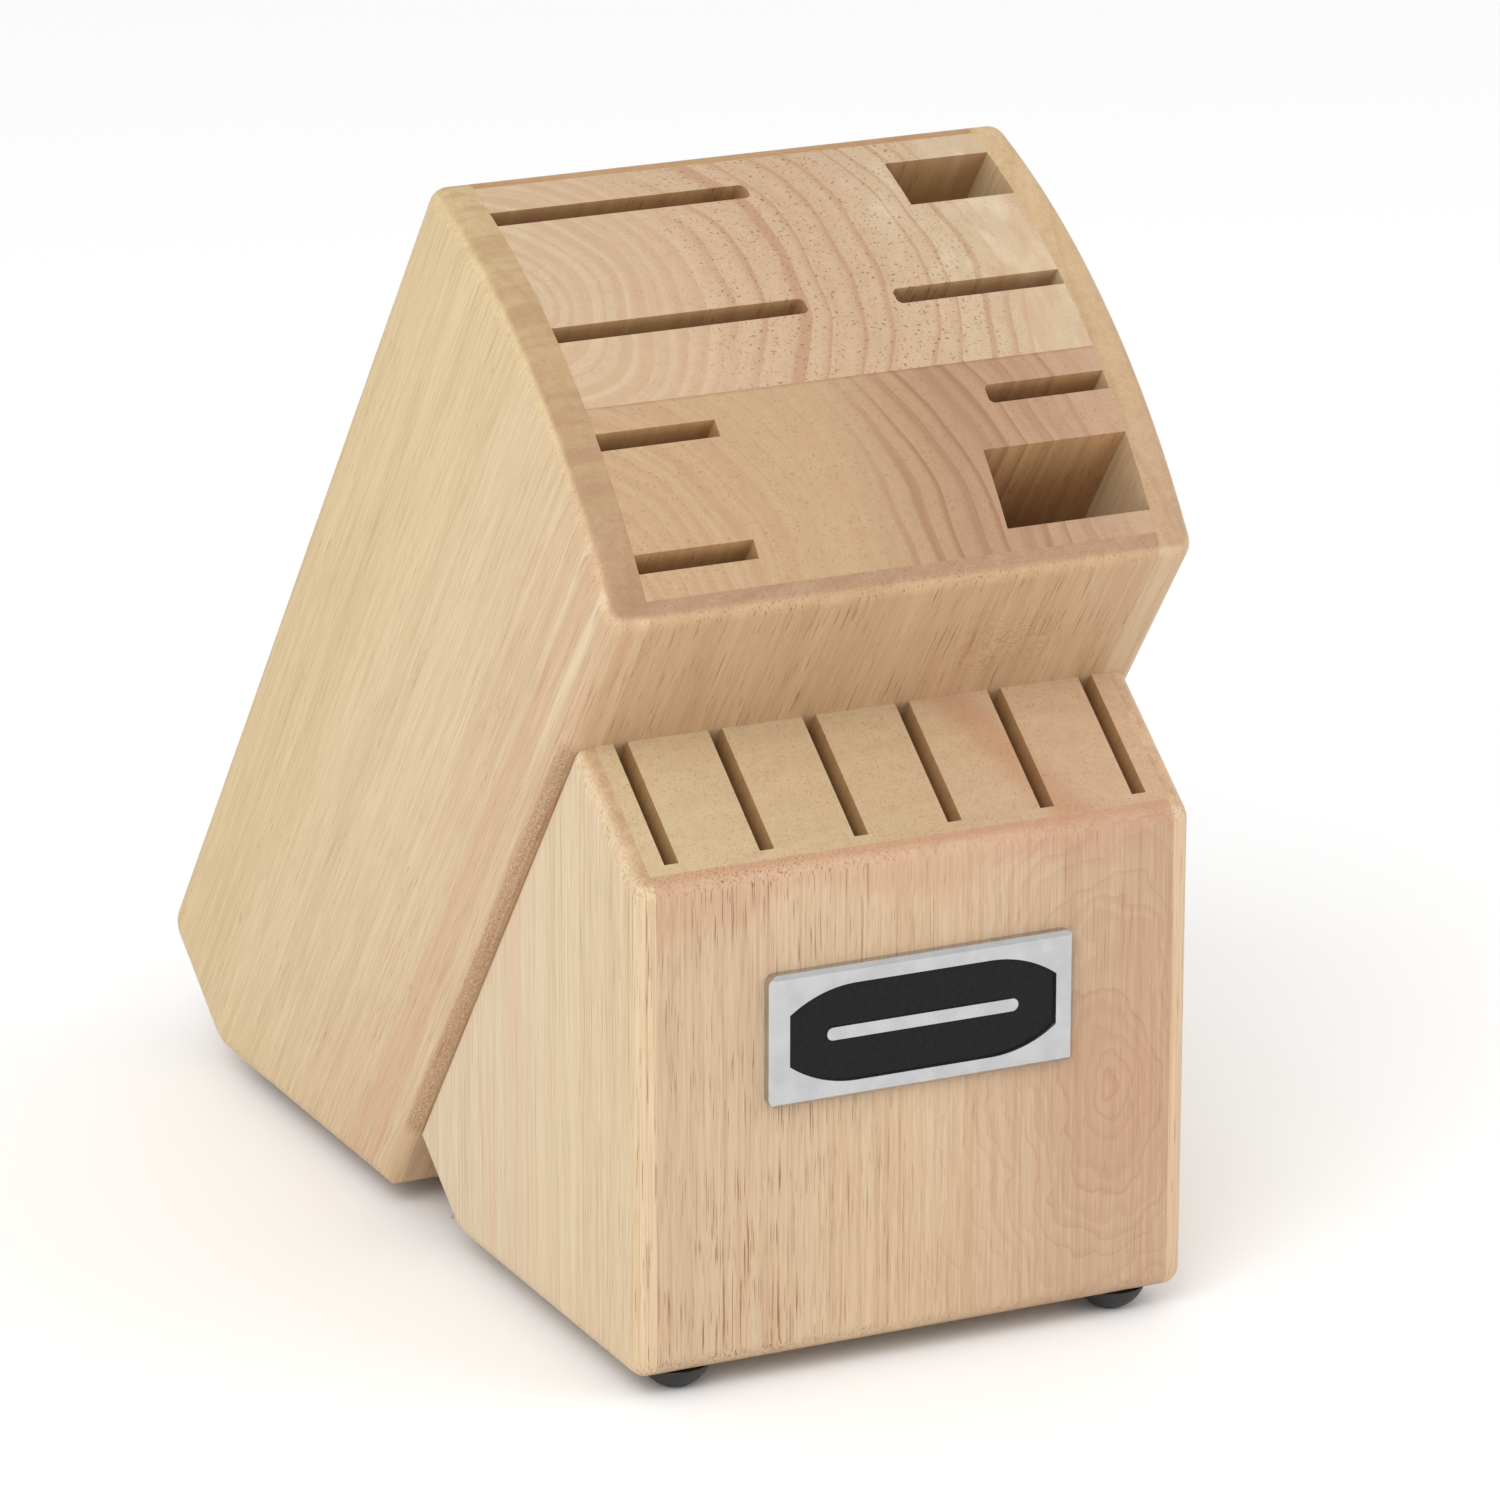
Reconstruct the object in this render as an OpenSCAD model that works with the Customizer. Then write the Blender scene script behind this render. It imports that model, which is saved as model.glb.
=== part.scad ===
// Slanted wooden knife block without its knives: a thick rear block with a
// crowned end, a small steak-knife block glued to its front face, a badge
// and four rubber feet. Millimetres, +Z up, front face towards -Y.
// The origin is on the floor, under the middle of the whole block.

/* [Rear block] */
// Width of the rear block across its two cheeks
rear_width = 115; // [95:1:140]
// Thickness of the rear block, from its front face to its back face
rear_thickness = 99.5; // [82:0.5:120]
// Length of the front face, from the plane of the heel cut to the crowned end
front_length = 225; // [187:1:270]
// How much longer the back face is than the front face
crown_skew = 2; // [-10:0.5:15]
// Rise of the crowned end above its chord
crown_rise = 8.3; // [4:0.1:14]
// Lean of both blocks, in degrees from vertical
slant = 36.7; // [30:0.1:44]
// Length of the square heel cut, from the back face to the base
heel_cut = 31.5; // [25:0.5:40]
// Thickness of each side cheek
cheek = 7.5; // [4.5:0.5:10]
// Thickness of the thin board on the front face
front_skin = 3.6; // [3:0.1:6]
// Thickness of the thin board on the back face
back_skin = 3.3; // [3:0.1:6]
// Distance from the front face to the glue joint between the two core boards
core_joint = 40.6; // [38.5:0.1:52]
// Radius round the outer rim of each cheek
rear_rim_r = 3.5; // [1:0.5:3.5]
// Radius of the two edges where the crowned end meets the front and back faces
crown_edge_r = 4; // [4:0.5:5]
// Radius of the edge between the front face and the base
nose_r = 4; // [3.5:0.5:5]
// Radius of the corner between the back face and the heel cut
heel_r = 5; // [4:0.5:8]
// Radius of the corner between the heel cut and the base
toe_r = 12; // [4:1:20]

/* [Rear block slots] */
// Thickness of the slot for the widest blade
wide_slot_t = 3.8; // [3.3:0.1:4.5]
// Thickness of the slots for the narrower blades
narrow_slot_t = 3.5; // [3.3:0.1:4.5]
// Width of the slot nearest the back face
back_slot_w = 50; // [40:1:55]
// Width of the left slot in the second row
second_slot_w = 49; // [40:1:55]
// Wood left between the two slots of the second row
second_row_web = 17.5; // [8:0.5:25]
// Width of the two short slots on the left
short_slot_w = 23; // [15:1:30]
// Width of the short slot on the right
right_slot_w = 24; // [15:1:30]
// Width of the sharpening-steel hole
steel_hole_w = 21; // [15:1:28]
// Thickness of the sharpening-steel hole
steel_hole_t = 12; // [8:0.5:14]
// Width of the shears hole
shears_hole_w = 28.5; // [20:0.5:34]
// Thickness of the shears hole
shears_hole_t = 15; // [10:0.5:18]
// Distance from the back face to the slot nearest it
back_slot_inset = 10.6; // [7:0.1:14]
// Distance from the back face to the sharpening-steel hole
steel_hole_inset = 9.3; // [6:0.1:12]
// Distance from the core joint up to the left slot of the second row
second_row_gap = 14.6; // [10:0.1:18]
// How much lower the right slot of the second row is than the left one
second_row_drop = 0.4; // [0:0.1:3]
// Distance from the core joint down to the third row
third_row_gap = 5.3; // [3:0.1:7]
// Distance from the front face to the fourth row
fourth_row_inset = 8.4; // [6:0.1:10]
// Distance from the front face to the shears hole
shears_hole_inset = 7.7; // [6:0.1:9]
// Radius in the two corners at the inner end of a round-ended slot
slot_end_r = 1.2; // [0.5:0.1:1.7]
// Wood left under the long slots and the steel hole, along the slant
long_slot_floor = 20; // [8:1:40]
// Wood left under the short slots and the shears hole, along the slant
short_slot_floor = 50; // [20:1:70]

/* [Front block] */
// How far each side of the front block stands in from the rear block's side
front_inset = 2.5; // [0.5:0.5:6]
// Length of the rear block's front face left showing above the front block
front_step = 35.8; // [10:0.1:60]
// Length of the sloping top, from the front face to the rear block
top_length = 32; // [30:0.5:38]
// Height above the base where the lower cut meets the rear block
lower_cut_height = 13.2; // [8:0.1:18]
// Thickness of each side cheek of the front block
front_cheek = 3.8; // [3.2:0.1:5]
// Thickness of the board on the upright front face
face_board = 2.6; // [2:0.1:4]
// Radius round the outer rim of each cheek of the front block
front_rim_r = 3; // [1:0.5:3]
// Radius that eases the cheeks' edges glued to the rear block
glue_rim_r = 1.5; // [0.5:0.5:3]
// Radius along the top and bottom of the upright front face
face_edge_r = 4; // [3.5:0.5:5]
// Radius of the corner between the lower cut and the base
lower_cut_r = 10; // [4:1:12]

/* [Steak-knife slots] */
// Number of steak-knife slots
steak_count = 6; // [2:1:6]
// Wood left between each outermost steak-knife slot and the cheek
steak_side_wall = 3.55; // [2:0.05:8]
// Thickness of each steak-knife slot
steak_slot_t = 2.8; // [2:0.1:4]
// Distance from the top front edge back to the steak-knife slots
steak_front_wall = 5.3; // [4.5:0.1:12]
// Wood left under the steak-knife slots, along the slant
steak_slot_floor = 10; // [6:1:20]

/* [Badge] */
// Width of the badge
badge_w = 60.5; // [40:0.5:70]
// Height of the badge
badge_h = 24.8; // [16:0.2:30]
// Thickness of the badge
badge_t = 2.6; // [2:0.1:4]
// Distance from the top of the upright front face down to the badge's centre
badge_drop = 30.7; // [18:0.1:70]
// Corner radius of the badge
badge_corner_r = 1.8; // [1:0.1:4]
// Width of the bevel round the badge's front edges
badge_bevel = 0.8; // [0.3:0.1:1.2]
// Width of the metal border at the badge's two ends
badge_border = 3.8; // [2.5:0.1:6]
// Width of the metal border above and below the panel
badge_rail = 3.2; // [2.5:0.1:5]
// Height of the upright edge at each end of the panel
panel_end_h = 9.6; // [7:0.1:11]
// Depth of the panel below the metal border
panel_depth = 0.7; // [0.3:0.1:1]
// Thickness of the black panel
panel_t = 0.8; // [0.5:0.1:1.2]
// Length of the plain raised bar across the panel
bar_w = 38; // [20:1:42]
// Height of the plain raised bar
bar_h = 2.4; // [1.5:0.1:4]
// How far the plain bar stands out of the panel
bar_rise = 0.4; // [0.1:0.1:0.7]

/* [Feet] */
// Diameter of each rubber foot
foot_d = 12.7; // [8:0.1:16]
// Height of each rubber foot
foot_h = 4.5; // [3:0.1:6]
// Depth sliced off each foot's dome to make its flat pad
foot_flat = 0.25; // [0.1:0.05:0.5]
// Distance of each foot's centre from the side of the front block
foot_side_inset = 11; // [8:0.5:20]
// Distance of the front feet's centres from the upright front face
foot_front_inset = 8; // [7:0.5:16]
// Distance of the rear feet's centres from the end of the flat base
foot_rear_inset = 9; // [7:0.5:20]

/* [Hidden] */
$fn = 96;
// Facets of a full circle as large as the crown
crown_fn = 360;

// Overshoot that carries every cutting shape clear of the wood
clear = 1;

// Rear block, in its own frame: x across, t through its thickness from the
// front face, s along its length from the cut heel.
toe_t = rear_thickness - heel_cut;
nose_s = toe_t * tan(slant);
core_w = rear_width - 2 * cheek;
core_top_t = rear_thickness - back_skin;

// Arc of the crowned end, through the tops of the front and back faces
back_length = front_length + crown_skew;
crown_chord = norm([rear_thickness, crown_skew]);
crown_r = (crown_chord * crown_chord / 4 + crown_rise * crown_rise) / (2 * crown_rise);
crown_drop = (crown_r - crown_rise) / crown_chord;
crown_centre = [
    rear_thickness / 2 + crown_skew * crown_drop,
    (back_length + front_length) / 2 - rear_thickness * crown_drop
];
reach_s = crown_centre.y + crown_r + clear;

// Thickness positions of the rows
back_row_t = rear_thickness - back_slot_inset - wide_slot_t;
steel_hole_lo = rear_thickness - steel_hole_inset - steel_hole_t;
second_row_t = core_joint + second_row_gap;
second_right_t = second_row_t - second_row_drop;
third_row_t = core_joint - third_row_gap - narrow_slot_t;
third_right_t = core_joint - third_row_gap - wide_slot_t;
second_right_w = core_w - second_slot_w - second_row_web;

// Where the rear block's frame sits: its base rests on the feet
datum_z = foot_h - toe_t * sin(slant);
top_s = front_length - front_step;
top_z = datum_z + top_s * cos(slant);
face_top_z = top_z - top_length * sin(slant);
lower_s = (foot_h + lower_cut_height - datum_z) / cos(slant);
front_reach = top_s * sin(slant) + top_length * cos(slant);
heel_reach = rear_thickness * cos(slant) - heel_r * (cos(slant) + sin(slant) - 1);
datum_y = (front_reach + badge_t - heel_reach) / 2;
front_y = datum_y - front_reach;

// Position in the side view, [y, z], of a point t, s of the rear block's frame
function side(t, s) = [
    datum_y + t * cos(slant) - s * sin(slant),
    datum_z + t * sin(slant) + s * cos(slant)
];
lower_cut_length = lower_cut_height / sin(slant);
front_width = rear_width - 2 * front_inset;
front_core_w = front_width - 2 * front_cheek;
steak_pitch = (front_core_w - 2 * steak_side_wall - steak_slot_t) / (steak_count - 1);
steak_slot_reach = top_length - steak_front_wall;

// Where the base starts to curve up into the heel cut
toe_y = side(toe_t, 0).x - toe_r * tan(slant / 2);

foot_dome_r = (foot_d * foot_d / 4 + foot_h * foot_h) / (2 * foot_h);
foot_x = front_width / 2 - foot_side_inset;
badge_z = face_top_z - badge_drop;
panel_w = badge_w - 2 * badge_border;
panel_h = badge_h - 2 * badge_rail;
panel_floor = badge_t - panel_depth - panel_t;
bevel_side = badge_bevel * sqrt(2);
// Arc that runs from the panel's level edge down to the top of its upright end
panel_arc_r = 22;

// ---- helpers ----

// Turns children from the rear block's own frame into the model's frame.
module lean() {
    translate([0, datum_y, datum_z])
        rotate([slant, 0, 0])
            children();
}

// Stands a board that lies on z = 0 on its edge: z runs in from x = x0.
module stand(x0) {
    translate([x0, 0, 0])
        rotate([90, 0, 90])
            children();
}

// Extrudes an outline drawn in the side view from x0 to x1.
module across(x0, x1) {
    stand(x0)
        linear_extrude(x1 - x0)
            children();
}

// Unit vector from p towards a.
function towards(p, a) = (a - p) / norm(a - p);

// Half of the angle at corner p of an outline; a and b lie along its sides.
function half_angle(p, a, b) = acos(towards(p, a) * towards(p, b)) / 2;

// Length that rounding the corner at p to radius r takes off each side.
function corner_cut(p, a, b, r) = r / tan(half_angle(p, a, b));

// Centre of the arc that rounds the corner at p to radius r.
function corner_centre(p, a, b, r) =
    p + towards([0, 0], towards(p, a) + towards(p, b)) * r / sin(half_angle(p, a, b));

// The kite between the corner at p and the centre of its rounding.
module corner_zone(p, a, b, r) {
    cut = corner_cut(p, a, b, r);
    polygon([
        p + towards(corner_centre(p, a, b, r), p) * clear,
        p + towards(p, a) * cut,
        corner_centre(p, a, b, r),
        p + towards(p, b) * cut
    ]);
}

// The piece that rounding the corner at p takes off.
module corner_waste(p, a, b, r) {
    difference() {
        corner_zone(p, a, b, r);
        translate(corner_centre(p, a, b, r))
            circle(r);
    }
}

// Section of the waste that rounding a square edge at the origin takes off;
// the wood lies towards +x and +y.
module edge_waste(r) {
    difference() {
        translate([-clear, -clear])
            square(r + clear);
        translate([r, r])
            circle(r);
    }
}

// The waste of a rounded rim along the straight side from a to b of an
// outline. The wood is on the left of that side and above z = 0.
// It starts at the distance skip past a, or runs out beyond it.
module side_rim(a, b, r, skip = -clear) {
    run = b - a;
    translate([a.x, a.y, 0])
        rotate([0, 0, atan2(run.y, run.x)])
            translate([skip, 0, 0])
                rotate([90, 0, 90])
                    linear_extrude(norm(run) - skip + clear)
                        edge_waste(r);
}

// The same round a full circle of an outline, with the wood inside it.
module round_rim(centre, radius, r) {
    translate([centre.x, centre.y, 0])
        rotate_extrude()
            translate([radius, 0])
                mirror([1, 0])
                    edge_waste(r);
}

// The part of a rim's waste of radius r, children(0), that lies in a zone of
// the outline, children(1).
module rim_in_zone(r) {
    intersection() {
        children(0);
        translate([0, 0, -clear])
            linear_extrude(r + 2 * clear)
                children(1);
    }
}

// The rim's waste at a corner of the outline that is rounded to corner_r.
module corner_rim(p, a, b, corner_r, r) {
    rim_in_zone(r) {
        round_rim(corner_centre(p, a, b, corner_r), corner_r, r);
        corner_zone(p, a, b, corner_r);
    }
}

// ---- rear block ----

// Corners of the rear block in its own frame, x = t and y = s.
toe = [toe_t, 0];
nose = [0, nose_s];
heel = [rear_thickness, 0];
back_top = [rear_thickness, back_length];
front_top = [0, front_length];

// Centre of the rounded edge where the crown meets the face at t; way is 1
// at the back face and -1 at the front face.
function crown_edge_centre(t, way) = let (
    run = t - way * crown_edge_r - crown_centre.x
) [
    t - way * crown_edge_r,
    crown_centre.y + sqrt(pow(crown_r - crown_edge_r, 2) - run * run)
];
back_edge = crown_edge_centre(rear_thickness, 1);
front_edge = crown_edge_centre(0, -1);

// Side outline of the rear block.
module rear_outline() {
    difference() {
        intersection() {
            polygon([heel, toe, nose, [0, reach_s], [rear_thickness, reach_s]]);
            translate(crown_centre)
                circle(crown_r, $fn = crown_fn);
        }
        corner_waste(heel, toe, back_top, heel_r);
        corner_waste(toe, heel, nose, toe_r);
        corner_waste(nose, toe, front_top, nose_r);
        crown_edge_waste(back_edge, 1);
        crown_edge_waste(front_edge, -1);
    }
}

// Corner of the outline beyond the rounded edge whose centre this is.
module crown_edge_zone(centre, way) {
    outside = centre.x + way * (crown_edge_r + clear);
    polygon([
        centre,
        [outside, centre.y],
        [outside, centre.y + crown_edge_r + clear],
        centre + towards(crown_centre, centre) * (crown_edge_r + clear)
    ]);
}

module crown_edge_waste(centre, way) {
    difference() {
        crown_edge_zone(centre, way);
        translate(centre)
            circle(crown_edge_r);
    }
}

// The rim's waste at a rounded edge of the crown.
module crown_edge_rim(centre, way) {
    rim_in_zone(rear_rim_r) {
        round_rim(centre, crown_edge_r, rear_rim_r);
        crown_edge_zone(centre, way);
    }
}

// Part of the rear block between two thicknesses and two places across.
module rear_layer(t0, t1, x0, x1) {
    lean()
        across(x0, x1)
            intersection() {
                rear_outline();
                translate([t0, -clear])
                    square([t1 - t0, reach_s + 2 * clear]);
            }
}

// Puts children as they are on the left side and mirrored on the right.
module on_side(side) {
    mirror([side == "right" ? 1 : 0, 0, 0])
        children();
}

// A cheek of the rear block with its outer rim rounded; the rims of the front
// face and the base meet in a mitre at the nose.
module rear_cheek(side) {
    color("burlywood")
        on_side(side)
            lean()
                stand(-rear_width / 2)
                    difference() {
                        linear_extrude(cheek)
                            rear_outline();
                        side_rim(toe, heel, rear_rim_r);
                        corner_rim(heel, toe, back_top, heel_r, rear_rim_r);
                        side_rim(heel, back_top, rear_rim_r);
                        crown_edge_rim(back_edge, 1);
                        round_rim(crown_centre, crown_r, rear_rim_r, $fn = crown_fn);
                        crown_edge_rim(front_edge, -1);
                        side_rim(front_top, nose, rear_rim_r);
                        side_rim(nose, toe, rear_rim_r);
                        corner_rim(toe, heel, nose, toe_r, rear_rim_r);
                    }
}

// A slot's section: x from its open side, y through its thickness. It runs
// from the core's side inwards, with its two inner corners rounded.
module slot_section(w, t, r) {
    difference() {
        translate([-clear, 0])
            square([w + clear, t]);
        if (r > 0) {
            corner_waste([w, 0], [0, 0], [w, t], r);
            corner_waste([w, t], [0, t], [w, 0], r);
        }
    }
}

// Slope of the base at thickness t: where it starts along the length.
function base_s(t) = max(0, (toe_t - t) * tan(slant));

// A slot sawn into the left side of the core, from t upwards.
module left_slot(w, thick, t, floor_s, r) {
    lean()
        translate([-core_w / 2, t, base_s(t) + floor_s])
            linear_extrude(reach_s)
                slot_section(w, thick, r);
}

// The same from the right side.
module right_slot(w, thick, t, floor_s, r) {
    mirror([1, 0, 0])
        left_slot(w, thick, t, floor_s, r);
}

module rear_front_board() {
    color("tan")
        rear_layer(0, front_skin, -core_w / 2, core_w / 2);
}

module rear_back_board() {
    color("tan")
        rear_layer(core_top_t, rear_thickness, -core_w / 2, core_w / 2);
}

module rear_core_lower() {
    color("wheat")
        difference() {
            rear_layer(front_skin, core_joint, -core_w / 2, core_w / 2);
            left_slot(short_slot_w, narrow_slot_t, third_row_t, short_slot_floor, 0);
            left_slot(short_slot_w, narrow_slot_t, fourth_row_inset, short_slot_floor, 0);
            right_slot(right_slot_w, wide_slot_t, third_right_t, short_slot_floor, slot_end_r);
            right_slot(shears_hole_w, shears_hole_t, shears_hole_inset, short_slot_floor, 0);
        }
}

module rear_core_upper() {
    color("wheat")
        difference() {
            rear_layer(core_joint, core_top_t, -core_w / 2, core_w / 2);
            left_slot(back_slot_w, wide_slot_t, back_row_t, long_slot_floor, slot_end_r);
            left_slot(second_slot_w, narrow_slot_t, second_row_t, long_slot_floor, slot_end_r);
            right_slot(second_right_w, narrow_slot_t, second_right_t, long_slot_floor, slot_end_r);
            right_slot(steel_hole_w, steel_hole_t, steel_hole_lo, long_slot_floor, 0);
        }
}

// ---- front block ----

// Corners of the front block in the side view, [y, z] of the model.
face_high = [front_y, face_top_z];
face_low = [front_y, foot_h];
glue_high = side(0, top_s);
glue_low = side(0, lower_s);
cut_low = side(-lower_cut_length, lower_s);

// Side outline of the front block.
module front_outline() {
    difference() {
        polygon([glue_high, face_high, face_low, cut_low, glue_low]);
        corner_waste(face_high, glue_high, face_low, face_edge_r);
        corner_waste(face_low, face_high, cut_low, face_edge_r);
        corner_waste(cut_low, face_low, glue_low, lower_cut_r);
    }
}

// A cheek of the front block with the whole of its outer rim rounded.
module front_cheek_board(side) {
    cut_skip = corner_cut(cut_low, face_low, glue_low, lower_cut_r);
    color("wheat")
        on_side(side)
            stand(-front_width / 2)
                difference() {
                    linear_extrude(front_cheek)
                        front_outline();
                    side_rim(glue_high, face_high, front_rim_r);
                    corner_rim(face_high, glue_high, face_low, face_edge_r, front_rim_r);
                    side_rim(face_high, face_low, front_rim_r);
                    corner_rim(face_low, face_high, cut_low, face_edge_r, front_rim_r);
                    side_rim(face_low, cut_low, front_rim_r);
                    corner_rim(cut_low, face_low, glue_low, lower_cut_r, front_rim_r);
                    side_rim(cut_low, glue_low, front_rim_r, cut_skip);
                    side_rim(glue_low, glue_high, glue_rim_r);
                }
}

module front_face_board() {
    color("burlywood")
        across(-front_core_w / 2, front_core_w / 2)
            intersection() {
                front_outline();
                translate([front_y - clear, 0])
                    square([face_board + clear, top_z]);
            }
}

module front_core() {
    color("wheat")
        difference() {
            across(-front_core_w / 2, front_core_w / 2)
                difference() {
                    front_outline();
                    translate([front_y - clear, 0])
                        square([face_board + clear, top_z]);
                }
            for (i = [0 : steak_count - 1])
                lean()
                    translate([
                        (i - (steak_count - 1) / 2) * steak_pitch - steak_slot_t / 2,
                        -steak_slot_reach,
                        lower_s + steak_slot_floor
                    ])
                        cube([steak_slot_t, steak_slot_reach + clear, top_s]);
        }
}

// ---- badge ----

// Places children drawn in the badge's plane, x across and y up, with z = 0
// on the wood and +z out of the front face.
module on_face() {
    translate([0, front_y, badge_z])
        rotate([90, 0, 0])
            children();
}

module rounded_plate(w, h, r) {
    difference() {
        translate([-w / 2, -h / 2])
            square([w, h]);
        for (mx = [0, 1], my = [0, 1])
            mirror([mx, 0])
                mirror([0, my])
                    corner_waste([w / 2, h / 2], [0, h / 2], [w / 2, 0], r);
    }
}

// Outline of the black panel: level top and bottom edges that arch down to
// short upright ends.
module panel_outline() {
    drop = (panel_h - panel_end_h) / 2;
    run = sqrt(panel_arc_r * panel_arc_r - pow(panel_arc_r - drop, 2));
    intersection() {
        square([panel_w, panel_h], center = true);
        intersection_for (mx = [0, 1], my = [0, 1])
            mirror([mx, 0])
                mirror([0, my])
                    union() {
                        translate([panel_w / 2 - run, panel_h / 2 - panel_arc_r])
                            circle(panel_arc_r);
                        translate([-panel_w / 2 - run, -panel_h / 2])
                            square([panel_w, panel_h]);
                        translate([-panel_w / 2, -panel_h])
                            square([panel_w, panel_h]);
                    }
    }
}

module bar_outline() {
    square([bar_w - bar_h, bar_h], center = true);
    for (way = [-1, 1])
        translate([way * (bar_w - bar_h) / 2, 0])
            circle(bar_h / 2);
}

module badge_plate() {
    color("silver")
        on_face()
            union() {
                difference() {
                    linear_extrude(badge_t)
                        rounded_plate(badge_w, badge_h, badge_corner_r);
                    translate([0, 0, panel_floor])
                        linear_extrude(badge_t)
                            panel_outline();
                    for (way = [-1, 1]) {
                        translate([0, way * badge_h / 2, badge_t])
                            rotate([45, 0, 0])
                                cube([badge_w + 2 * clear, bevel_side, bevel_side], center = true);
                        translate([way * badge_w / 2, 0, badge_t])
                            rotate([0, 45, 0])
                                cube([bevel_side, badge_h + 2 * clear, bevel_side], center = true);
                    }
                }
                translate([0, 0, panel_floor])
                    linear_extrude(panel_t + bar_rise)
                        bar_outline();
            }
}

module badge_panel() {
    color("black")
        on_face()
            translate([0, 0, panel_floor])
                linear_extrude(panel_t)
                    difference() {
                        panel_outline();
                        bar_outline();
                    }
}

// ---- feet ----

module foot() {
    intersection() {
        cylinder(d = foot_d, h = foot_h);
        translate([0, 0, foot_dome_r - foot_flat])
            sphere(foot_dome_r);
    }
}

// The foot at the front or rear, on the left or right side.
module foot_at(row, side) {
    y = row == "front" ? front_y + foot_front_inset : toe_y - foot_rear_inset;
    color("dimgray")
        on_side(side)
            translate([-foot_x, y, 0])
                foot();
}

for (side = ["left", "right"]) {
    rear_cheek(side);
    front_cheek_board(side);
    for (row = ["front", "rear"])
        foot_at(row, side);
}
rear_front_board();
rear_back_board();
rear_core_lower();
rear_core_upper();
front_face_board();
front_core();
badge_plate();
badge_panel();
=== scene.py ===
"""Looks, light and camera for the slanted wooden knife block."""
import math
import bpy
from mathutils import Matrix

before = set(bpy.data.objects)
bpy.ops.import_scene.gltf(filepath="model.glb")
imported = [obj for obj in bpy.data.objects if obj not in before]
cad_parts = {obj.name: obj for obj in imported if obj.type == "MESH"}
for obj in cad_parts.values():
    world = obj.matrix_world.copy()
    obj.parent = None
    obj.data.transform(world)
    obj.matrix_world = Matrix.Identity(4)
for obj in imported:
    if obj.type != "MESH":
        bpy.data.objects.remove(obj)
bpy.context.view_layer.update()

from types import SimpleNamespace

import bpy
from mathutils import Matrix, Vector

# ---------------------------------------------------------------- sizes, mm
SLANT = math.radians(36.7)          # lean of both blocks
DATUM = Vector((0, 31.774, -36.138))  # start of the rear block's own frame
REAR_T = 99.5                       # thickness of the rear block
HALF_WIDTH = 57.5                   # half the width of the rear block
CORE_JOINT = 40.6                   # glue joint between the core boards
FRONT_TOP_S = 189.2                 # where the front block's top meets the rear
CORE_HALF = 50                      # half the width of the boards between cheeks
FRONT_FACE = -107                   # y of the upright front face, to the nearest mm
BADGE_ROLL = 0.6                    # rolled edge of the badge plate
SAME_POINT = 0.01                   # corners closer than this are one corner

# Camera, worked out from the object's straight edges
VIEW_AZIMUTH = math.radians(-25.53)
VIEW_ELEVATION = math.radians(18.04)
VIEW_ROLL = math.radians(0.1)
VIEW_DISTANCE = 1.5673
VIEW_TARGET = Vector((0.03312, 0.03177, 0.06995))
VIEW_LENS = 193.66


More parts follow.
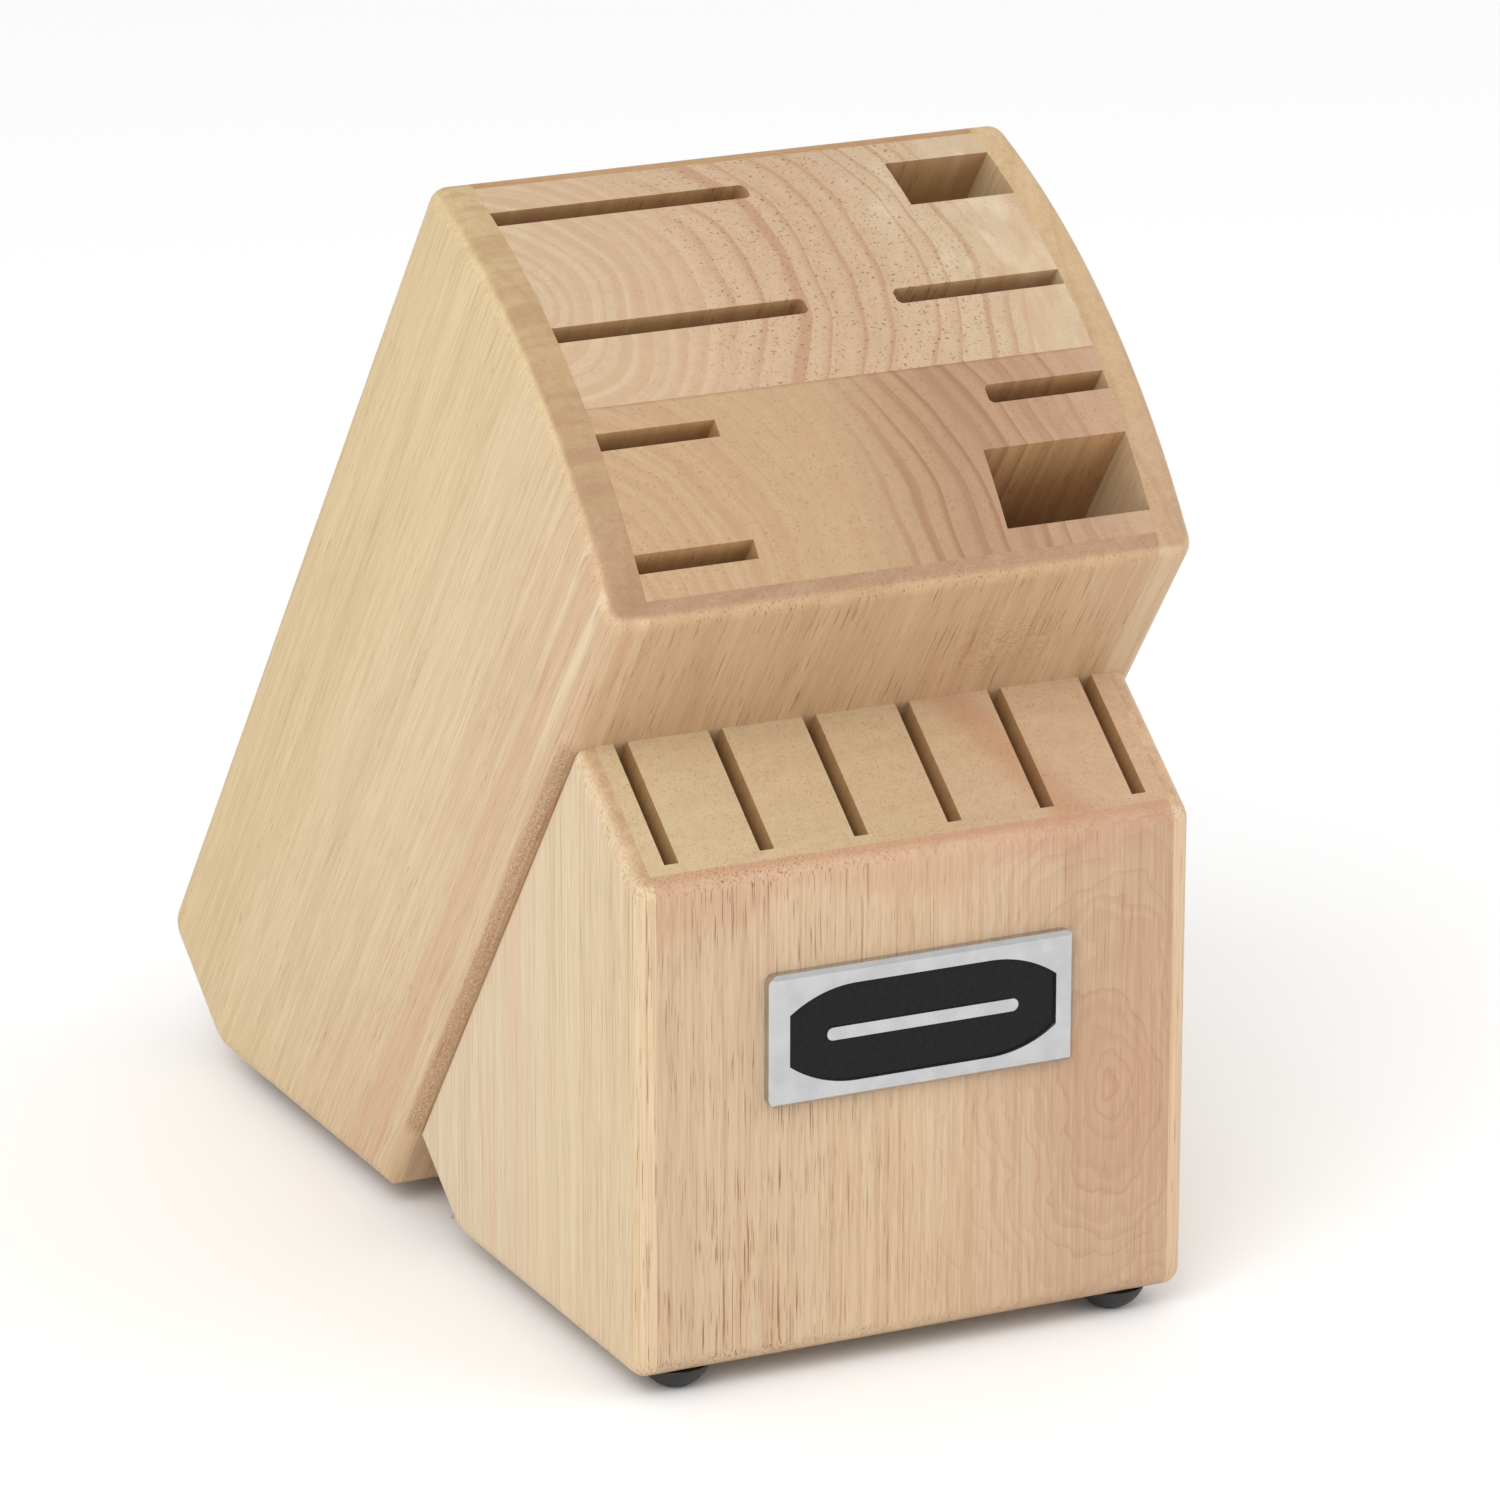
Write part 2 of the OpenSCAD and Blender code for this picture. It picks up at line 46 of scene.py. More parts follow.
# ------------------------------------------------------------ node building
class Shader:
    """A material's node tree, with short calls for the nodes used here."""

    def __init__(self, name):
        self.material = bpy.data.materials.new(name)
        self.material.use_nodes = True
        self.tree = self.material.node_tree
        self.tree.nodes.clear()
        self.bsdf = self.tree.nodes.new("ShaderNodeBsdfPrincipled")
        output = self.tree.nodes.new("ShaderNodeOutputMaterial")
        self.tree.links.new(self.bsdf.outputs[0], output.inputs["Surface"])

    def plug(self, socket, value):
        if isinstance(value, bpy.types.NodeSocket):
            self.tree.links.new(value, socket)
        elif value is not None:
            socket.default_value = value

    def make(self, kind, settings=None, **inputs):
        """Adds a node; inputs are named by their sockets, with _ for a space."""
        node = self.tree.nodes.new(kind)
        for key, value in (settings or {}).items():
            setattr(node, key, value)
        for key, value in inputs.items():
            self.plug(node.inputs[key.replace("_", " ")], value)
        return node

    def math(self, operation, a, b=0.0, c=0.0):
        node = self.tree.nodes.new("ShaderNodeMath")
        node.operation = operation
        for socket, value in zip(node.inputs, (a, b, c)):
            self.plug(socket, value)
        return node.outputs[0]

    def vector(self, operation, a, b=(0, 0, 0), scale=None):
        node = self.tree.nodes.new("ShaderNodeVectorMath")
        node.operation = operation
        self.plug(node.inputs[0], a)
        self.plug(node.inputs[1], b)
        if scale is not None:
            self.plug(node.inputs["Scale"], scale)
        return node.outputs["Value" if operation in ("LENGTH", "DOT_PRODUCT") else 0]

    def split(self, vector):
        return self.make("ShaderNodeSeparateXYZ", Vector=vector).outputs

    def join(self, x, y, z):
        return self.make("ShaderNodeCombineXYZ", X=x, Y=y, Z=z).outputs[0]

    def stretch(self, vector, scale, offset=(0, 0, 0)):
        node = self.make("ShaderNodeMapping", Vector=vector)
        node.inputs["Scale"].default_value = scale
        node.inputs["Location"].default_value = offset
        return node.outputs[0]

    def noise(self, vector, scale=1.0, detail=2.0, rough=0.5):
        return self.make(
            "ShaderNodeTexNoise", Vector=vector, Scale=scale, Detail=detail,
            Roughness=rough
        ).outputs["Fac"]

    def noise_1d(self, value, detail=2.0, rough=0.5):
        return self.make(
            "ShaderNodeTexNoise", {"noise_dimensions": "1D"}, W=value, Scale=1.0,
            Detail=detail, Roughness=rough
        ).outputs["Fac"]

    def band(self, value, low, high, out_low=0.0, out_high=1.0, smooth=True):
        """Maps value from low..high to out_low..out_high, held at both ends."""
        node = self.make(
            "ShaderNodeMapRange",
            {"interpolation_type": "SMOOTHSTEP" if smooth else "LINEAR", "clamp": True},
            Value=value
        )
        node.inputs["From Min"].default_value = low
        node.inputs["From Max"].default_value = high
        node.inputs["To Min"].default_value = out_low
        node.inputs["To Max"].default_value = out_high
        return node.outputs[0]

    def ramp(self, value, stops):
        """Colour that runs smoothly through stops, a list of (value, colour)."""
        low, high = stops[0][0], stops[-1][0]
        node = self.make("ShaderNodeValToRGB", Fac=self.band(value, low, high, smooth=False))
        points = node.color_ramp.elements
        while len(points) < len(stops):
            points.new(0.5)
        for point, (at, colour) in zip(points, stops):
            point.position = (at - low) / (high - low)
            point.color = (*colour, 1.0)
        return node.outputs[0]

    def ring_lines(self, phase, unevenness):
        """Darkening once each whole step of phase, with a sharp outer edge."""
        shift = self.times(self.noise_1d(phase, 2.0), unevenness)
        fraction = self.math("FRACT", self.math("ADD", phase, shift))
        line = self.times(self.band(fraction, 0.3, 0.9), self.band(fraction, 0.9, 1.0, 1.0, 0.0))
        return self.times(line, self.band(shift, 0.3, 0.7, 0.4, 1.0))

    def end_grain(self, slanted):
        """1 where the surface cuts across the fibres, 0 along them."""
        lean = SLANT if slanted else 0.0
        normal = self.make("ShaderNodeNewGeometry").outputs["Normal"]
        along = self.vector("DOT_PRODUCT", normal, (0, -math.sin(lean), math.cos(lean)))
        return self.band(self.math("ABSOLUTE", along), 0.55, 0.85)

    def window(self, value, low, high, soft):
        """1 between low and high, fading to 0 over soft on both sides."""
        rise = self.band(value, low - soft, low + soft)
        fall = self.band(value, high - soft, high + soft, 1.0, 0.0)
        return self.times(rise, fall)

    def oval(self, a, b, centre, half):
        """Distance of (a, b) from centre, as a share of the oval's half sizes."""
        flat = self.join(
            self.math("DIVIDE", self.math("SUBTRACT", a, centre[0]), half[0]),
            self.math("DIVIDE", self.math("SUBTRACT", b, centre[1]), half[1]), 0.0
        )
        return self.vector("LENGTH", flat)

    def times(self, *factors):
        product = factors[0]
        for factor in factors[1:]:
            product = self.math("MULTIPLY", product, factor)
        return product

    def mix(self, factor, a, b, blend="MIX"):
        node = self.tree.nodes.new("ShaderNodeMix")
        node.data_type = "RGBA"
        node.blend_type = blend
        self.plug(node.inputs[0], factor)
        for socket, value in ((node.inputs[6], a), (node.inputs[7], b)):
            self.plug(socket, value if isinstance(value, bpy.types.NodeSocket)
                      else (*value, 1.0))
        return node.outputs[2]

    def tint(self, colour, new, *factors):
        """Moves colour towards new by the product of the factors."""
        return self.mix(self.times(*factors), colour, new)

    def bump(self, height, strength, distance):
        node = self.make("ShaderNodeBump", Height=height)
        node.inputs["Strength"].default_value = strength
        node.inputs["Distance"].default_value = distance
        return node.outputs[0]

    def place(self, slanted):
        """Object coordinates in mm: the rear block's (x, thickness, length), or (x, y, z)."""
        node = self.make(
            "ShaderNodeMapping",
            Vector=self.make("ShaderNodeTexCoord").outputs["Object"]
        )
        node.inputs["Scale"].default_value = (1000, 1000, 1000)
        if slanted:
            turn = Matrix.Rotation(-SLANT, 3, "X")
            node.inputs["Rotation"].default_value = (-SLANT, 0, 0)
            node.inputs["Location"].default_value = -(turn @ DATUM)
        return node.outputs[0]


def srgb(r, g, b):
    """Linear colour from 0..255 display values."""
    def linear(v):
        v /= 255
        return v / 12.92 if v <= 0.04045 else ((v + 0.055) / 1.055) ** 2.4
    return tuple(linear(v) for v in (r, g, b))


# ------------------------------------------------------------------- wood
RING = 7.0                           # spacing of the growth rings, mm
GRAIN = (0.55, 0.36, 0.22)           # what full-strength grain multiplies by
PORE = srgb(124, 84, 54)
RED = srgb(172, 118, 88)
CREAM = srgb(226, 212, 184)
WHITE = (1.0, 1.0, 1.0)


def wood(name, seed, pith, ground, end, axis="x", slanted=True, lines=0.10,
         streaks=0.10, fibres=0.07, pores=0.5, extra=None):
    """Solid wood whose fibres run along the third axis of place().

    ground is the plain colour of the long grain and end that of the end
    grain, as stops along axis in mm. pith is the centre of the growth rings,
    across the fibres. lines, streaks, fibres and pores are how strongly each
    shows. extra adds a board's own figure: it takes the shader, at and the
    colour so far, where at holds x, t and s, the three axes of place(), with
    place itself and the radius from the pith.
    """
    sh = Shader(name)
    place = sh.place(slanted)
    x, t, s = sh.split(place)
    at = SimpleNamespace(x=x, t=t, s=s, place=place)
    shift = (seed * 17.3, seed * 9.1, seed * 31.7)

    # slow wander of the fibres, then the distance from the pith
    wander_at = sh.stretch(place, (0.022, 0.022, 0.0045), shift)
    wander = sh.make("ShaderNodeTexNoise", Vector=wander_at, Scale=1.0,
                     Detail=2.0, Roughness=0.5).outputs["Color"]
    wander = sh.vector("MULTIPLY_ADD", wander, (14, 14, 0))
    moved = sh.vector("ADD", sh.join(x, t, 0.0), wander)
    at.radius = sh.vector("LENGTH", sh.vector("SUBTRACT", moved, (*pith, 0)))

    # growth rings: uneven bands, each ending in a thin dark line
    phase = sh.math("DIVIDE", at.radius, RING)
    bands = sh.noise_1d(phase, 3.0, 0.62)
    late = sh.ring_lines(phase, 1.3)
    rings = sh.math("ADD", late, sh.band(bands, 0.3, 0.7, 0.0, 1.2, False))

    # streaks and fibres along the grain
    streak = sh.noise(sh.stretch(place, (0.42, 0.42, 0.010), shift), 1.0, 5.0, 0.68)
    fibre = sh.noise(sh.stretch(place, (3.2, 3.2, 0.07), shift), 1.0, 3.0, 0.6)
    tone = sh.times(rings, lines)
    tone = sh.math("MULTIPLY_ADD", sh.band(streak, 0.32, 0.72, -1.0, 2.0, False), streaks, tone)
    tone = sh.math("MULTIPLY_ADD", sh.band(fibre, 0.3, 0.75, -1.0, 2.0, False), fibres, tone)
    across = getattr(at, axis)
    colour = sh.mix(sh.end_grain(slanted), sh.ramp(across, ground), sh.ramp(across, end))
    colour = sh.mix(1.0, colour, sh.mix(tone, WHITE, GRAIN), "MULTIPLY")
    if extra:
        colour = extra(sh, at, colour)

    # pores: long thin cells, some of them open
    cells = sh.make(
        "ShaderNodeTexVoronoi",
        Vector=sh.stretch(sh.vector("ADD", place, sh.vector("SCALE", wander, scale=0.4)),
                          (1.15, 1.15, 0.11), shift),
        Scale=1.0, Randomness=1.0
    )
    chosen = sh.split(cells.outputs["Color"])
    opened = sh.band(chosen[0], 0.5, 0.75)
    patch = sh.band(sh.noise(sh.stretch(place, (0.06, 0.06, 0.01), shift), 1.0, 2.0),
                    0.35, 0.62, 0.15, 1.0)
    core = sh.band(cells.outputs["Distance"], 0.06, 0.2, 1.0, 0.0)
    pore = sh.times(core, opened, patch)
    colour = sh.tint(colour, PORE, pore, pores)

    sh.plug(sh.bsdf.inputs["Base Color"], colour)
    rough = sh.math("ADD", sh.band(fibre, 0.3, 0.7, 0.42, 0.54, False),
                    sh.times(pore, 0.2))
    sh.plug(sh.bsdf.inputs["Roughness"], rough)
    relief = sh.math("SUBTRACT", sh.times(fibre, 0.35), pore)
    sh.plug(sh.bsdf.inputs["Normal"], sh.bump(relief, 0.25, 0.0001))
    sh.bsdf.inputs["Specular IOR Level"].default_value = 0.25
    return sh.material


def dashes(sh, place, across, along, low, high, seed):
    """Short dark pores that open on a face, as a 0..1 mask.

    across and along set how many there are per mm; low and high are the
    noise values at which one starts to show and is full.
    """
    spots = sh.noise(sh.stretch(place, (across, across, along), (seed, 0, seed)), 1.0, 2.0, 0.55)
    return sh.band(spots, low, high)


# ------------------------------------------------- each board's own character
def left_cheek_figure(sh, at, colour):
    """Pinker streaks and reddish flecks in front, painted shade on the arris by the front block, a
    banded end.
    """
    end = sh.end_grain(True)
    sides = sh.math("SUBTRACT", 1.0, end)
    front = sh.times(sh.band(at.t, 4, 56, 1.0, 0.0), sides)
    wide = sh.noise(sh.stretch(at.place, (0.2, 0.2, 0.004), (2, 5, 0)), 1.0, 4.0, 0.66)
    pale = sh.band(wide, 0.32, 0.46, 1.0, 0.0)
    colour = sh.tint(colour, srgb(198, 158, 126), front, sh.band(wide, 0.46, 0.6), 0.6)
    colour = sh.tint(colour, srgb(224, 204, 168), front, pale, 0.5)

    fleck = dashes(sh, at.place, across=2.4, along=0.06, low=0.59, high=0.67, seed=3.0)
    colour = sh.tint(colour, RED, fleck, front, 0.55)
    stray = dashes(sh, at.place, across=2.0, along=0.05, low=0.63, high=0.7, seed=8.0)
    colour = sh.tint(colour, RED, stray, sides, 0.4)

    # Painted shade: a speckled dark strip on the rounded front-left arris, where the front block is
    # glued on.
    arris_shade = sh.times(sh.band(at.t, 1.4, 2.6, 1.0, 0.0), sh.window(at.s, 68, FRONT_TOP_S, 2.0),
                     sh.band(at.x, 2 - HALF_WIDTH, 4 - HALF_WIDTH, 1.0, 0.0))
    speckle = sh.band(sh.noise(at.place, 2.6, 4.0, 0.7), 0.36, 0.62)
    colour = sh.tint(colour, PORE, arris_shade, speckle, 0.6)

    bands = sh.noise(sh.stretch(at.place, (0.03, 0.22, 0.02), (7, 1, 0)), 1.0, 3.0, 0.6)
    return sh.tint(colour, srgb(152, 112, 84), sh.band(bands, 0.42, 0.6), end, 0.35)


def upper_core_figure(sh, at, colour):
    """Broad arcs and dots through the middle, cream patches on the right."""
    arcs = sh.ring_lines(sh.math("DIVIDE", at.radius, 6.5), 2.2)
    colour = sh.tint(colour, srgb(168, 124, 94), arcs, sh.window(at.x, -16, 40, 8), 0.6)

    right = sh.band(at.x, 10, 30)
    bands = sh.noise(sh.stretch(at.place, (0.16, 0.03, 0.01), (4, 2, 0)), 1.0, 3.0, 0.6)
    colour = sh.tint(colour, srgb(186, 146, 116), sh.band(bands, 0.5, 0.62), right, 0.4)
    patches = sh.noise(sh.stretch(at.place, (0.13, 0.06, 0.01), (1, 6, 0)), 1.0, 3.0, 0.6)
    colour = sh.tint(colour, CREAM, sh.band(patches, 0.5, 0.74), right, 0.34)

    faint = sh.ring_lines(sh.math("DIVIDE", at.radius, 3.4), 1.6)
    colour = sh.tint(colour, srgb(176, 134, 104), faint, sh.band(at.x, -26, -4, 1.0, 0.0), 0.3)
    dots = dashes(sh, at.place, across=1.6, along=0.3, low=0.6, high=0.68, seed=13.0)
    return sh.tint(colour, PORE, dots, sh.window(at.x, -22, 36, 10), 0.7)


def lower_core_figure(sh, at, colour):
    """Thin dark ring lines right of the middle, faint arcs on the left, fine dots."""
    colour = sh.tint(colour, srgb(176, 130, 102), sh.band(at.x, -4, 26), 0.14)
    lines = sh.ring_lines(sh.math("DIVIDE", at.radius, 4.2), 1.1)
    colour = sh.tint(colour, srgb(146, 104, 76), lines, sh.window(at.x, 2, 42, 8), 0.75)

    faint = sh.ring_lines(sh.math("DIVIDE", at.radius, 3.1), 1.5)
    colour = sh.tint(colour, srgb(166, 126, 90), faint, sh.band(at.x, -30, 6, 1.0, 0.0), 0.3)
    dots = dashes(sh, at.place, across=1.7, along=0.3, low=0.61, high=0.69, seed=17.0)
    colour = sh.tint(colour, PORE, dots, 0.35)

    joint = sh.band(at.t, CORE_JOINT - 0.8, CORE_JOINT, 0.0, 0.3)
    return sh.tint(colour, PORE, joint)


def front_board_figure(sh, at, colour):
    """Dark flecks and a soft knot right of the middle."""
    wobble = sh.band(sh.noise(at.place, 0.12, 3.0, 0.6), 0.3, 0.7, -0.5, 0.5, False)
    knot = sh.math("ADD", sh.oval(at.x, at.s, (25, 204), (13, 10)), wobble)
    swirl = sh.ring_lines(sh.times(knot, 4.5), 0.8)
    colour = sh.tint(colour, srgb(142, 98, 62), swirl, sh.band(knot, 0.5, 1.3, 1.0, 0.0), 0.5)
    fleck = dashes(sh, at.place, across=2.6, along=0.075, low=0.6, high=0.68, seed=7.0)
    return sh.tint(colour, PORE, fleck, 0.6)


def face_figure(sh, at, colour):
    """Pores, mostly on the left, an oval figure low on the right, a pink top."""
    wave = sh.band(sh.noise(at.place, 0.05, 3.0, 0.55), 0.3, 0.7, -6.0, 6.0, False)
    top = sh.band(sh.math("ADD", at.s, wave), 86, 92, 0.0, 0.35)
    colour = sh.tint(colour, srgb(190, 142, 116), top)

    oval = sh.math("ADD", sh.oval(at.x, at.s, (38, 46), (12, 26)), sh.times(wave, 0.045))
    colour = sh.tint(colour, srgb(184, 142, 116), sh.band(oval, 0.5, 1.3, 0.4, 0.0))
    lines = sh.ring_lines(sh.times(oval, 5.0), 0.9)
    colour = sh.tint(colour, srgb(162, 116, 88), lines, sh.band(oval, 1.4, 3.6, 1.0, 0.2), 0.42)

    streaks = dashes(sh, at.place, across=1.5, along=0.008, low=0.5, high=0.68, seed=2.0)
    colour = sh.tint(colour, srgb(176, 132, 98), streaks, 0.35)
    fine = dashes(sh, at.place, across=3.6, along=0.09, low=0.59, high=0.67, seed=11.0)
    broad = dashes(sh, at.place, across=2.4, along=0.06, low=0.61, high=0.68, seed=21.0)
    patches = sh.band(sh.noise(at.place, 0.06, 2.0, 0.5), 0.36, 0.58, 0.25, 1.0)
    left = sh.band(at.x, -34, 12, 1.0, 0.3)
    return sh.tint(colour, PORE, sh.math("MAXIMUM", fine, broad), patches, left, 0.8)


def front_cheek_figure(sh, at, colour):
    """Fine upright lines, pinker and yellower by turns, and pores near the face."""
    wide = sh.noise(sh.stretch(at.place, (0.2, 0.2, 0.005), (8, 3, 0)), 1.0, 3.0, 0.6)
    colour = sh.tint(colour, srgb(212, 180, 152), sh.band(wide, 0.45, 0.62, 0.0, 0.45))
    fine = dashes(sh, at.place, across=2.4, along=0.018, low=0.52, high=0.66, seed=4.0)
    colour = sh.tint(colour, srgb(176, 138, 96), fine, 0.45)
    marks = dashes(sh, at.place, across=3.0, along=0.08, low=0.61, high=0.68, seed=9.0)
    return sh.tint(colour, PORE, marks, sh.band(at.t, FRONT_FACE, -70, 1.0, 0.2), 0.6)


def front_core_figure(sh, at, colour):
    """A reddish slanting band on the right, and short dark flecks."""
    slope = sh.math("MULTIPLY_ADD", at.t, 0.5, at.x)
    colour = sh.tint(colour, RED, sh.window(slope, 14, 22, 3), 0.4)
    fleck = dashes(sh, at.place, across=2.2, along=0.5, low=0.58, high=0.68, seed=5.0)
    return sh.tint(colour, PORE, fleck, 0.3)


def metal():
    """Satin metal with faint brushing and slow mottling."""
    sh = Shader("badge_metal")
    place = sh.place(False)
    brushing = sh.noise(sh.stretch(place, (0.5, 6.0, 16.0)), 1.0, 3.0, 0.6)
    mottle = sh.noise(place, 0.25, 3.0, 0.5)
    colour = sh.mix(sh.band(mottle, 0.3, 0.7), (0.5, 0.5, 0.505), (0.56, 0.56, 0.565))
    sh.plug(sh.bsdf.inputs["Base Color"], colour)
    sh.bsdf.inputs["Metallic"].default_value = 1.0
    sh.plug(sh.bsdf.inputs["Roughness"], sh.band(brushing, 0.3, 0.7, 0.2, 0.3))
    sh.plug(sh.bsdf.inputs["Normal"], sh.bump(brushing, 0.03, 0.00003))
    return sh.material


def black_enamel():
    """Glossy black filling of the badge, with a very slight orange peel."""
    sh = Shader("badge_black")
    place = sh.place(False)
    peel = sh.noise(place, 0.9, 2.0, 0.5)
    colour = sh.mix(sh.band(peel, 0.3, 0.7), srgb(10, 10, 11), srgb(18, 18, 19))
    sh.plug(sh.bsdf.inputs["Base Color"], colour)
    sh.plug(sh.bsdf.inputs["Roughness"], sh.band(peel, 0.3, 0.7, 0.1, 0.18))
    sh.plug(sh.bsdf.inputs["Normal"], sh.bump(peel, 0.05, 0.0001))
    sh.bsdf.inputs["Specular IOR Level"].default_value = 0.2
    return sh.material


def rubber():
    """Matte black rubber, slightly dusty."""
    sh = Shader("foot_rubber")
    place = sh.place(False)
    dust = sh.noise(place, 1.4, 4.0, 0.6)
    colour = sh.mix(sh.band(dust, 0.4, 0.8), srgb(24, 24, 25), srgb(52, 51, 50))
    sh.plug(sh.bsdf.inputs["Base Color"], colour)
    sh.plug(sh.bsdf.inputs["Roughness"], sh.band(dust, 0.3, 0.7, 0.45, 0.65))
    sh.plug(sh.bsdf.inputs["Normal"], sh.bump(dust, 0.15, 0.0002))
    return sh.material


def dress(node, material):
    """Gives a carried-over CAD node its finished material."""
    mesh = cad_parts[node].data
    mesh.materials.clear()
    mesh.materials.append(material)


def round_edges(node, width):
    """Joins a node's faces and rolls its sharp edges over, with modifiers."""
    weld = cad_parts[node].modifiers.new("joined_faces", "WELD")
    weld.merge_threshold = SAME_POINT / 1000
    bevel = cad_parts[node].modifiers.new("rolled_edges", "BEVEL")
    bevel.width = width / 1000
    bevel.segments = 3
    bevel.limit_method = "ANGLE"
    bevel.angle_limit = math.radians(30)


# ------------------------------------------------------------------- looks
dress("rear_left_cheek", wood(
    "rear_left_cheek_wood", seed=1, pith=(-190, 40), axis="t", lines=0.08, streaks=0.10,
    fibres=0.13, pores=0.4, extra=left_cheek_figure,
    ground=[(0, srgb(206, 180, 145)), (40, srgb(212, 191, 151)), (REAR_T, srgb(208, 186, 142))],
    end=[(0, srgb(169, 138, 107)), (50, srgb(180, 153, 116)), (REAR_T, srgb(194, 172, 130))]
))
dress("rear_right_cheek", wood(
    "rear_right_cheek_wood", seed=2, pith=(190, 40), axis="t", lines=0.12, streaks=0.10,
    fibres=0.13, pores=0.4,
    ground=[(0, srgb(203, 177, 143)), (REAR_T, srgb(207, 185, 147))],
    end=[(0, srgb(182, 152, 121)), (REAR_T, srgb(201, 175, 135))]
))
# The darker ground and end colours of this board are partly its own tone, partly painted shade of its
# face under the front block.
dress("rear_front_board", wood(
    "rear_front_board_wood", seed=3, pith=(40, -160), lines=0.08, streaks=0.12, fibres=0.09,
    pores=0.4, extra=front_board_figure,
    ground=[(-HALF_WIDTH, srgb(194, 162, 125)), (HALF_WIDTH, srgb(195, 163, 127))],
    end=[(-HALF_WIDTH, srgb(168, 137, 109)), (HALF_WIDTH, srgb(170, 139, 111))]
))
dress("rear_back_board", wood(
    "rear_back_board_wood", seed=4, pith=(0, 260), streaks=0.1,
    ground=[(-HALF_WIDTH, srgb(201, 176, 137)), (HALF_WIDTH, srgb(199, 174, 135))],
    end=[(-HALF_WIDTH, srgb(176, 141, 100)), (HALF_WIDTH, srgb(174, 137, 96))]
))
dress("rear_core_lower", wood(
    "rear_core_lower_wood", seed=5, pith=(-62, 6), lines=0.06, streaks=0.05, fibres=0.07,
    pores=0.5, extra=lower_core_figure,
    ground=[(-CORE_HALF, srgb(193, 154, 108)), (CORE_HALF, srgb(191, 152, 106))],
    end=[(-CORE_HALF, srgb(186, 158, 124)), (-8, srgb(182, 153, 119)),
         (16, srgb(166, 136, 107)), (CORE_HALF, srgb(181, 152, 126))]
))
dress("rear_core_upper", wood(
    "rear_core_upper_wood", seed=6, pith=(-52, 74), lines=0.08, streaks=0.06, fibres=0.07,
    pores=0.7, extra=upper_core_figure,
    ground=[(-CORE_HALF, srgb(193, 158, 114)), (CORE_HALF, srgb(197, 162, 118))],
    end=[(-CORE_HALF, srgb(196, 174, 143)), (-16, srgb(194, 168, 139)),
         (8, srgb(190, 162, 134)), (CORE_HALF, srgb(196, 177, 148))]
))
dress("front_left_cheek", wood(
    "front_left_cheek_wood", slanted=False, seed=7, pith=(-150, 0), axis="t", lines=0.06,
    streaks=0.09, fibres=0.12, pores=0.2, extra=front_cheek_figure,
    ground=[(FRONT_FACE, srgb(212, 191, 156)), (-60, srgb(215, 197, 166)), (0, srgb(216, 202, 174))],
    end=[(FRONT_FACE, srgb(183, 154, 118)), (0, srgb(185, 158, 120))]
))
dress("front_right_cheek", wood(
    "front_right_cheek_wood", slanted=False, seed=8, pith=(150, 0), axis="t", lines=0.06,
    streaks=0.09, fibres=0.12, pores=0.2, extra=front_cheek_figure,
    ground=[(FRONT_FACE, srgb(205, 179, 147)), (0, srgb(208, 187, 152))],
    end=[(FRONT_FACE, srgb(183, 151, 118)), (0, srgb(185, 154, 120))]
))
dress("front_face_board", wood(
    "front_face_board_wood", slanted=False, seed=9, pith=(20, -220), lines=0.06,
    streaks=0.09, fibres=0.13, pores=0.3, extra=face_figure,
    ground=[(-CORE_HALF, srgb(198, 174, 144)), (0, srgb(203, 178, 147)),
            (30, srgb(192, 165, 137)), (CORE_HALF, srgb(188, 158, 131))],
    end=[(-CORE_HALF, srgb(191, 162, 125)), (CORE_HALF, srgb(187, 152, 122))]
))
dress("front_core", wood(
    "front_core_wood", seed=10, pith=(20, -160), lines=0.06, streaks=0.06, fibres=0.07,
    pores=0.5, extra=front_core_figure,
    ground=[(-CORE_HALF, srgb(189, 156, 110)), (CORE_HALF, srgb(183, 145, 102))],
    end=[(-CORE_HALF, srgb(196, 175, 140)), (0, srgb(189, 165, 131)), (CORE_HALF, srgb(191, 160, 131))]
))
dress("badge_plate", metal())
dress("badge_panel", black_enamel())
round_edges("badge_plate", BADGE_ROLL)
foot_material = rubber()
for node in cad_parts:
    if node.startswith("foot_"):
        dress(node, foot_material)


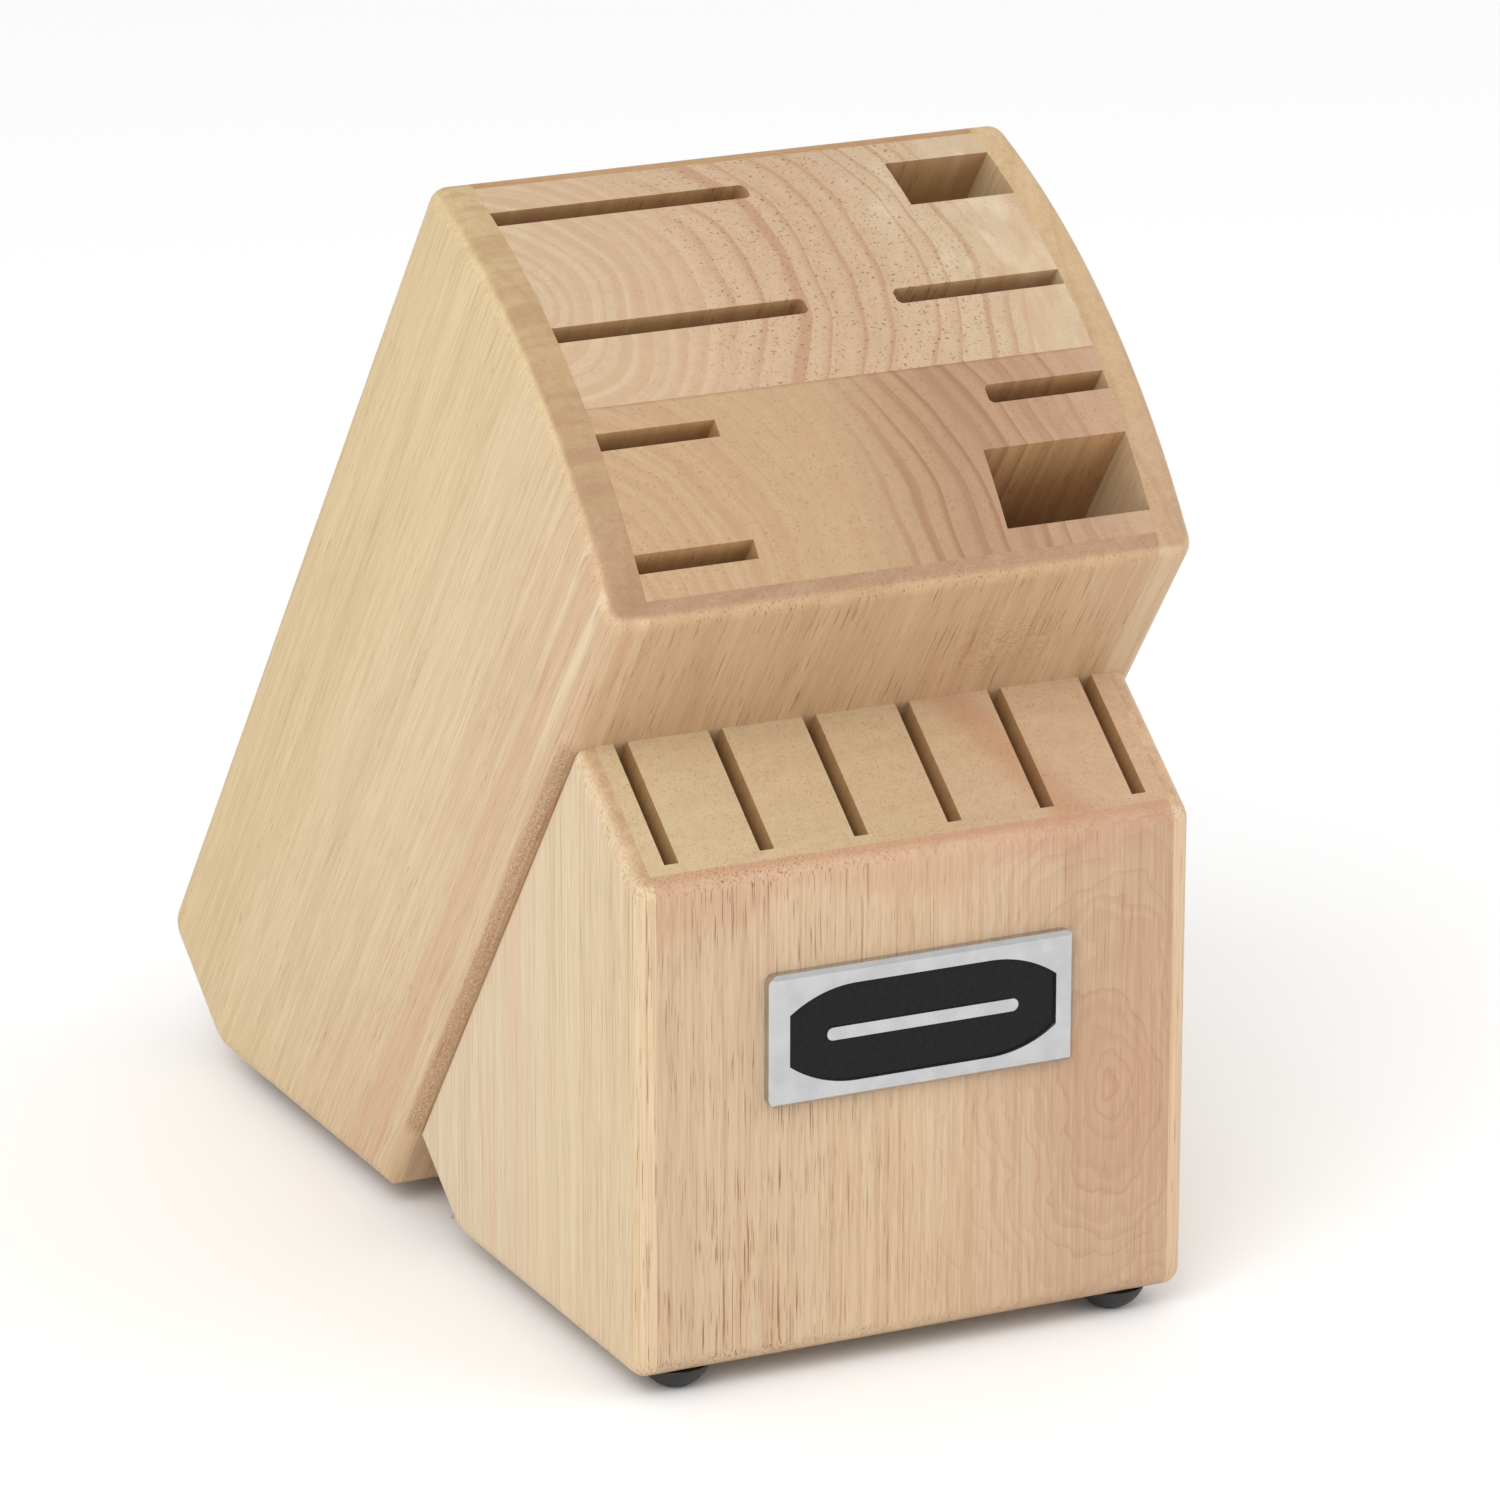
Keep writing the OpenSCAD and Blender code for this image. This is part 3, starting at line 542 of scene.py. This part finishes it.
# ------------------------------------------------------------------- stage
def add_floor():
    """A wide plain pale floor, level with the pads of the feet."""
    mesh = bpy.data.meshes.new("floor")
    half = 6.0
    corners = [(-half, -half, 0), (half, -half, 0), (half, half, 0), (-half, half, 0)]
    mesh.from_pydata(corners, [], [(0, 1, 2, 3)])
    floor = bpy.data.objects.new("floor", mesh)
    bpy.context.scene.collection.objects.link(floor)
    material = bpy.data.materials.new("floor_white")
    material.use_nodes = True
    shader = material.node_tree.nodes["Principled BSDF"]
    shader.inputs["Base Color"].default_value = (0.95, 0.95, 0.95, 1)
    shader.inputs["Roughness"].default_value = 0.9
    mesh.materials.append(material)


def add_light(name, place, size, power):
    """A square soft box that faces the middle of the block."""
    data = bpy.data.lights.new(name, "AREA")
    data.size = size
    data.energy = power
    light = bpy.data.objects.new(name, data)
    light.location = place
    aim = Vector((0, 0, 0.1)) - Vector(place)
    light.rotation_euler = aim.to_track_quat("-Z", "Y").to_euler()
    bpy.context.scene.collection.objects.link(light)


def add_sky(strength):
    """An even white surround."""
    world = bpy.data.worlds.new("studio")
    world.use_nodes = True
    background = world.node_tree.nodes["Background"]
    background.inputs["Color"].default_value = (1.0, 1.0, 1.0, 1)
    background.inputs["Strength"].default_value = strength
    bpy.context.scene.world = world


def add_camera():
    """Looks at VIEW_TARGET from the photograph's direction and distance."""
    data = bpy.data.cameras.new("camera")
    data.sensor_width = 36.0
    data.lens = VIEW_LENS
    data.clip_start = 0.05
    data.clip_end = 30.0
    camera = bpy.data.objects.new("camera", data)
    back = Vector((
        math.sin(VIEW_AZIMUTH) * math.cos(VIEW_ELEVATION),
        -math.cos(VIEW_AZIMUTH) * math.cos(VIEW_ELEVATION),
        math.sin(VIEW_ELEVATION)
    ))
    camera.location = VIEW_TARGET + back * VIEW_DISTANCE
    turn = (-back).to_track_quat("-Z", "Y").to_matrix().to_4x4()
    turn = turn @ Matrix.Rotation(VIEW_ROLL, 4, "Z")
    camera.rotation_euler = turn.to_euler()
    bpy.context.scene.collection.objects.link(camera)
    bpy.context.scene.camera = camera


add_floor()
add_sky(0.85)
add_light("key", place=(-1.5, -1.5, 1.9), size=1.6, power=33.0)
add_light("fill", place=(1.6, -1.4, 1.1), size=1.6, power=10.0)
add_camera()
bpy.context.scene.view_settings.view_transform = "Standard"
